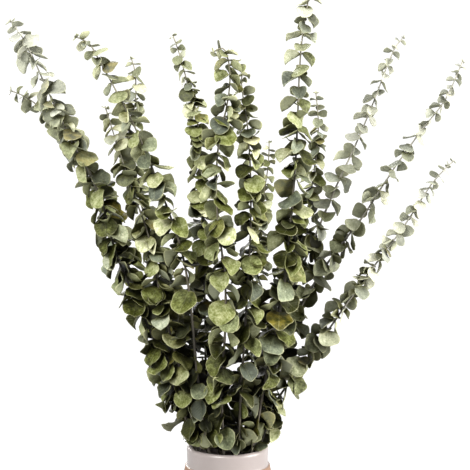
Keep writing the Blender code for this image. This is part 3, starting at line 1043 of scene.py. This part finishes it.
class Nodes:
    """Short calls for building one material's nodes."""

    def __init__(self, name):
        self.material = bpy.data.materials.new(name)
        self.material.use_nodes = True
        self.tree = self.material.node_tree
        self.shader = self.tree.nodes["Principled BSDF"]
        self.output = self.tree.nodes["Material Output"]

    def add(self, kind, inputs=(), **settings):
        node = self.tree.nodes.new(kind)
        for key, value in settings.items():
            setattr(node, key, value)
        for key, value in dict(inputs).items():
            self.set(node.inputs[key], value)
        return node

    def set(self, socket, value):
        if isinstance(value, bpy.types.NodeSocket):
            self.tree.links.new(value, socket)
        else:
            socket.default_value = value

    def math(self, operation, a, b=0.0, clamp=False):
        node = self.add("ShaderNodeMath", {0: a, 1: b}, operation=operation, use_clamp=clamp)
        return node.outputs[0]

    def attribute(self, name):
        return self.add("ShaderNodeAttribute", attribute_name=name).outputs["Fac"]

    def mix(self, share, a, b, blend="MIX"):
        node = self.add("ShaderNodeMix", data_type="RGBA", blend_type=blend)
        self.set(node.inputs["Factor"], share)
        self.set(node.inputs["A"], a)
        self.set(node.inputs["B"], b)
        return node.outputs["Result"]

    def ramp(self, share, stops):
        node = self.add("ShaderNodeValToRGB")
        self.set(node.inputs["Fac"], share)
        elements = node.color_ramp.elements
        while len(elements) > 1:
            elements.remove(elements[-1])
        elements[0].position = stops[0][0]
        elements[0].color = stops[0][1]
        for position, colour in stops[1:]:
            element = elements.new(position)
            element.color = colour
        return node.outputs["Color"]

    def noise(self, vector, scale, detail=2.0, roughness=0.5):
        node = self.add("ShaderNodeTexNoise",
                        {"Vector": vector, "Scale": scale, "Detail": detail, "Roughness": roughness})
        return node.outputs["Fac"]

    def spread(self, value, low, high, new_low=0.0, new_high=1.0):
        node = self.add("ShaderNodeMapRange", {"Value": value, "From Min": low, "From Max": high,
                                               "To Min": new_low, "To Max": new_high})
        return node.outputs["Result"]


def rgb(red, green, blue):
    return (red, green, blue, 1.0)


# Narrower leaves than this have fainter veins and bumps
FULL_SIZE = 22.0

# How far a leaf feels the shade of its neighbours, in metres
NEARBY = 0.03


def leaf_material():
    n = Nodes("leaf")
    place = n.add("ShaderNodeTexCoord").outputs["Object"]
    along = n.attribute("along")
    off_rib = n.math("ABSOLUTE", n.attribute("across"))
    shade = n.attribute("shade")
    under = n.attribute("under")
    blotch = n.noise(place, 130.0, 4.0, 0.65)
    mottle = n.noise(place, 420.0, 4.0, 0.7)
    speck = n.noise(place, 1100.0, 3.0, 0.6)
    size = n.attribute("size")
    marks = n.math("ADD", n.spread(mottle, 0.3, 0.7, -0.22, 0.22), n.spread(speck, 0.3, 0.7, -0.08, 0.08))
    marks = n.math("ADD", marks, n.spread(blotch, 0.3, 0.7, -0.2, 0.2))
    marks = n.math("MULTIPLY", marks, n.spread(size, 0.0, 0.7, 0.2, 1.0))
    tone = n.math("ADD", n.attribute("tone"), marks)
    base = n.ramp(tone, (
        (0.0, rgb(0.018, 0.020, 0.002)),
        (0.2, rgb(0.050, 0.056, 0.008)),
        (0.45, rgb(0.130, 0.148, 0.042)),
        (0.7, rgb(0.265, 0.284, 0.142)),
        (0.9, rgb(0.410, 0.420, 0.250)),
        (1.0, rgb(0.520, 0.522, 0.355)),
    ))
    grey = n.math("MULTIPLY", n.spread(shade, 0.3, 0.1), 0.8)
    bloom = n.ramp(tone, (
        (0.0, rgb(0.060, 0.070, 0.055)),
        (0.5, rgb(0.175, 0.200, 0.160)),
        (1.0, rgb(0.420, 0.440, 0.350)),
    ))
    base = n.mix(grey, base, bloom)
    stale = n.math("MULTIPLY", n.spread(shade, 0.9, 0.97), n.spread(blotch, 0.4, 0.62))
    base = n.mix(n.math("MULTIPLY", stale, 0.85), base, rgb(0.210, 0.165, 0.022))
    # Pale tint of the young leaves: partly their own paler colour, partly painted light
    base = n.mix(n.math("MULTIPLY", n.attribute("pale"), 0.85, clamp=True), base,
                 n.ramp(tone, ((0.0, rgb(0.23, 0.24, 0.205)), (0.5, rgb(0.38, 0.385, 0.342)),
                               (1.0, rgb(0.51, 0.51, 0.465)))))
    # Side veins leave the midrib at a slant
    slant = n.math("SUBTRACT", along, n.math("MULTIPLY", off_rib, 0.75))
    step = n.math("FRACT", n.math("MULTIPLY", slant, 7.0))
    vein = n.math("ABSOLUTE", n.math("SUBTRACT", step, 0.5))
    vein = n.spread(vein, 0.09, 0.0, 0.0, 0.6)
    rib = n.spread(off_rib, 0.022, 0.006)
    lines = n.math("MULTIPLY", n.math("MAXIMUM", rib, vein, clamp=True), size)
    worn = n.spread(blotch, 0.35, 0.65, 0.2, 1.0)
    base = n.mix(n.math("MULTIPLY", n.math("MULTIPLY", lines, worn), 0.24), base, rgb(0.42, 0.44, 0.24))
    base = n.mix(n.math("MULTIPLY", under, 0.4), base, rgb(0.27, 0.28, 0.18))
    edge = n.math("MULTIPLY", n.spread(n.attribute("ring"), 0.9, 1.0, 0.0, 0.62), worn)
    base = n.mix(edge, base, rgb(0.46, 0.45, 0.25))
    # Painted shade: darker deep in the bunch and in the hollows, towards the leaf's root where the leaf above
    # covers it, and where other leaves lie close (ambient occlusion); a little lighter towards the tip, and
    # yellower as it darkens
    dim = n.spread(n.attribute("deep"), 0.0, 1.0, 1.0, 0.12)
    dim = n.math("MULTIPLY", dim, n.spread(along, 0.0, 0.8, 0.72, 1.12))
    near = n.add("ShaderNodeAmbientOcclusion", {"Distance": NEARBY}, samples=8).outputs["AO"]
    near = n.spread(near, 0.2, 0.71, 0.08, 1.12)
    # Pale leaves get less of the painted shade from close leaves, so they look evenly lit
    young = n.math("MULTIPLY", n.attribute("pale"), 0.85, clamp=True)
    near = n.math("ADD", near, n.math("MULTIPLY", young, n.math("SUBTRACT", 1.12, near)))
    dim = n.math("MULTIPLY", dim, near)
    base = n.mix(1.0, base, dim, "MULTIPLY")
    base = n.mix(1.0, base, n.mix(n.spread(dim, 0.0, 0.85), rgb(1.0, 0.94, 0.3), rgb(1.0, 1.0, 1.0)), "MULTIPLY")
    n.set(n.shader.inputs["Base Color"], base)
    n.set(n.shader.inputs["Roughness"], n.spread(speck, 0.3, 0.7, 0.42, 0.62))
    n.shader.inputs["Specular IOR Level"].default_value = 0.16
    height = n.math("ADD", n.math("MULTIPLY", lines, -0.35), n.math("MULTIPLY", speck, 0.5))
    height = n.math("ADD", height, n.math("MULTIPLY", blotch, 1.2))
    height = n.math("ADD", height, n.math("MULTIPLY", mottle, 0.8))
    bump = n.add("ShaderNodeBump", {"Strength": n.math("MULTIPLY", size, 0.6), "Distance": 0.0009,
                                    "Height": height})
    n.set(n.shader.inputs["Normal"], bump.outputs["Normal"])
    glow = n.add("ShaderNodeBsdfTranslucent", {"Color": n.mix(0.35, base, rgb(0.32, 0.36, 0.07))})
    both = n.add("ShaderNodeMixShader", {0: 0.14, 1: n.shader.outputs[0], 2: glow.outputs[0]})
    n.set(n.output.inputs["Surface"], both.outputs[0])
    return n.material


def stem_material():
    n = Nodes("stem")
    place = n.add("ShaderNodeTexCoord").outputs["Object"]
    down = n.attribute("down")
    long = n.add("ShaderNodeMapping", {"Vector": place, "Scale": (900.0, 900.0, 90.0)})
    grain = n.noise(long.outputs[0], 1.0, 4.0, 0.6)
    base = n.ramp(down, (
        (0.0, rgb(0.16, 0.15, 0.08)),
        (0.25, rgb(0.080, 0.072, 0.046)),
        (0.5, rgb(0.045, 0.036, 0.022)),
        (1.0, rgb(0.045, 0.034, 0.020)),
    ))
    base = n.mix(n.spread(grain, 0.35, 0.7, 0.0, 0.45), base, rgb(0.17, 0.145, 0.09))
    # Painted shade where other parts lie close and in the hollows
    near = n.add("ShaderNodeAmbientOcclusion", {"Distance": NEARBY}, samples=8).outputs["AO"]
    near = n.math("MULTIPLY", n.spread(near, 0.3, 0.85, 0.25, 1.0),
                  n.spread(n.attribute("deep"), 0.0, 1.0, 1.0, 0.3))
    base = n.mix(1.0, base, near, "MULTIPLY")
    # Pale tint near the tip: partly the young stem's own colour, partly painted light
    base = n.mix(n.math("MULTIPLY", n.attribute("pale"), 0.7), base, rgb(0.36, 0.35, 0.30))
    n.set(n.shader.inputs["Base Color"], base)
    n.set(n.shader.inputs["Roughness"], n.spread(grain, 0.3, 0.7, 0.6, 0.85))
    bump = n.add("ShaderNodeBump", {"Strength": 0.5, "Distance": 0.0004, "Height": grain})
    n.set(n.shader.inputs["Normal"], bump.outputs["Normal"])
    return n.material


def vase_material():
    n = Nodes("vase")
    place = n.add("ShaderNodeTexCoord").outputs["Object"]
    height = n.add("ShaderNodeSeparateXYZ", {"Vector": place}).outputs["Z"]
    wobble = n.noise(place, 60.0, 2.0)
    edge = n.math("ADD", height, n.spread(wobble, 0.0, 1.0, -0.0006, 0.0006))
    line = (VASE_HEIGHT - COLLAR_HEIGHT) * MM
    glazed = n.spread(edge, line - 0.0002, line + 0.0006)
    cloud = n.noise(place, 35.0, 3.0)
    glaze = n.mix(n.spread(cloud, 0.3, 0.7, 0.0, 0.5), rgb(0.245, 0.215, 0.207), rgb(0.195, 0.166, 0.158))
    grit = n.noise(place, 700.0, 3.0, 0.7)
    turned = n.add("ShaderNodeMapping", {"Vector": place, "Scale": (8.0, 8.0, 600.0)})
    bands = n.noise(turned.outputs[0], 1.0, 3.0, 0.6)
    clay = n.mix(n.spread(bands, 0.3, 0.7, 0.0, 0.7), rgb(0.168, 0.096, 0.058), rgb(0.225, 0.138, 0.090))
    clay = n.mix(n.spread(grit, 0.55, 0.75, 0.0, 0.5), clay, rgb(0.12, 0.064, 0.037))
    n.set(n.shader.inputs["Base Color"], n.mix(glazed, clay, glaze))
    n.set(n.shader.inputs["Roughness"], n.spread(glazed, 0.0, 1.0, 0.82, 0.32))
    rough = n.math("ADD", n.math("MULTIPLY", grit, 0.5), bands)
    rough = n.math("MULTIPLY", rough, n.spread(glazed, 0.0, 1.0, 1.0, 0.12))
    bump = n.add("ShaderNodeBump", {"Strength": 0.35, "Distance": 0.0006, "Height": rough})
    n.set(n.shader.inputs["Normal"], bump.outputs["Normal"])
    return n.material


def floor_material():
    """White, and fading out towards the disc's edge."""
    n = Nodes("floor")
    n.shader.inputs["Base Color"].default_value = rgb(0.48, 0.48, 0.48)
    n.shader.inputs["Roughness"].default_value = 0.9
    n.shader.inputs["Specular IOR Level"].default_value = 0.1
    place = n.add("ShaderNodeTexCoord").outputs["Object"]
    reach = n.add("ShaderNodeVectorMath", {0: place}, operation="LENGTH").outputs["Value"]
    fade = n.add("ShaderNodeMapRange", {"Value": reach, "From Min": FLOOR_SOLID, "From Max": FLOOR_REACH},
                 interpolation_type="SMOOTHSTEP")
    clear = n.add("ShaderNodeBsdfTransparent")
    both = n.add("ShaderNodeMixShader",
                 {0: fade.outputs["Result"], 1: n.shader.outputs[0], 2: clear.outputs[0]})
    n.set(n.output.inputs["Surface"], both.outputs[0])
    return n.material


# Floor, light and camera

FLOOR_SOLID = 0.22
FLOOR_REACH = 0.58
CAMERA_DISTANCE = 1.8
CAMERA_ELEVATION = 8.0
CAMERA_TARGET = (0.0081, 0.0, VASE_HEIGHT * MM + 0.2288)
SENSOR = 36.0
LENS = 130.07


def make_floor():
    bpy.ops.mesh.primitive_circle_add(vertices=96, radius=FLOOR_REACH, fill_type="TRIFAN")
    floor = bpy.context.object
    floor.name = "floor"
    floor.data.materials.append(floor_material())


def make_camera():
    data = bpy.data.cameras.new("camera")
    data.sensor_width = SENSOR
    data.lens = LENS
    data.clip_end = 400.0
    camera = bpy.data.objects.new("camera", data)
    lean = math.radians(CAMERA_ELEVATION)
    x, y, z = CAMERA_TARGET
    camera.location = (x, y - CAMERA_DISTANCE * math.cos(lean), z + CAMERA_DISTANCE * math.sin(lean))
    camera.rotation_euler = (math.radians(90.0) - lean, 0.0, 0.0)
    bpy.context.scene.collection.objects.link(camera)
    bpy.context.scene.camera = camera


def area_light(name, place, aim, size, power, colour):
    data = bpy.data.lights.new(name, "AREA")
    data.shape = "SQUARE"
    data.size = size
    data.energy = power
    data.color = colour
    light = bpy.data.objects.new(name, data)
    light.location = place
    way = Vector(aim) - Vector(place)
    light.rotation_euler = way.to_track_quat("-Z", "Y").to_euler()
    bpy.context.scene.collection.objects.link(light)


def make_light():
    """A white room that is dimmer overhead, with one large light on each side."""
    world = bpy.data.worlds.new("white room")
    bpy.context.scene.world = world
    world.use_nodes = True
    tree = world.node_tree
    way = tree.nodes.new("ShaderNodeTexCoord").outputs["Generated"]
    parts = tree.nodes.new("ShaderNodeSeparateXYZ")
    tree.links.new(way, parts.inputs[0])
    ramp = tree.nodes.new("ShaderNodeMapRange")
    ramp.interpolation_type = "SMOOTHSTEP"
    ramp.inputs["From Min"].default_value = WHITE_BELOW
    ramp.inputs["From Max"].default_value = DIM_ABOVE
    ramp.inputs["To Min"].default_value = 1.12
    ramp.inputs["To Max"].default_value = OVERHEAD
    tree.links.new(parts.outputs["Z"], ramp.inputs["Value"])
    tree.links.new(ramp.outputs["Result"], tree.nodes["Background"].inputs["Color"])
    area_light("window", (2.9, -0.9, 1.0), (0.0, 0.0, 0.3), 2.0, 255.0, (1.0, 0.98, 0.95))
    area_light("front", (-0.9, -1.5, 1.7), (0.0, 0.0, 0.42), 0.8, 78.0, (1.0, 0.99, 0.96))
    area_light("back", (-0.9, 2.3, 1.3), (0.0, 0.0, 0.42), 1.2, 60.0, (1.0, 0.99, 0.97))
    bpy.context.scene.view_settings.view_transform = "Standard"


WHITE_BELOW = 0.2
DIM_ABOVE = 0.55
OVERHEAD = 0.3

# Building

branch_names = [branch[0] for branch in BRANCHES]
rings = [stem_rings(i, branch[4]) for i, branch in enumerate(BRANCHES)]
growth = [grow_nodes(i, rings[i], *branch[1:4]) for i, branch in enumerate(BRANCHES)]
fixed = [(i, tree_of_mesh(stem_mesh(name, rings[i]))) for i, name in enumerate(branch_names)]
fixed.append((-1, tree_of_mesh(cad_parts["vase"].data)))
betweens = [between_nodes(i, rings[i], growth[i], *branch[1:3]) for i, branch in enumerate(BRANCHES)]
edges = [rim_nodes(i, rings[i], *branch[1:3]) for i, branch in enumerate(BRANCHES)]
fillers = [filling_nodes(i, rings[i], *branch[1:4]) for i, branch in enumerate(BRANCHES)]
placed = place_leaves(growth, betweens, edges, fillers, Crowd(fixed))
depths = painted_leaf_shades(placed)

leaf_surface = leaf_material()
stem_surface = stem_material()
for i, name in enumerate(branch_names):
    share, reach, darker = TONES[name]
    own = [(leaf, share * math.exp(-(from_tip / reach) ** 2), deep,
            darker * min(max((from_tip - AGE_FROM) / (AGE_FULL - AGE_FROM), 0.0), 1.0))
           for (leaf, from_tip), deep in zip(placed, depths) if leaf.branch == i]
    foliage = leaves_piece(name.replace("branch", "leaves"), own, leaf_surface, 500 + i)
    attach(foliage, "root")
    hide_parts(name)
    stem = stem_piece(name.replace("branch", "stem"), rings[i], growth[i], stem_surface,
                      (share, reach), 700 + i)
    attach(stem, "root")

vase = vase_piece(vase_material())
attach(vase, "root")
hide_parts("vase")

make_floor()
make_light()
make_camera()
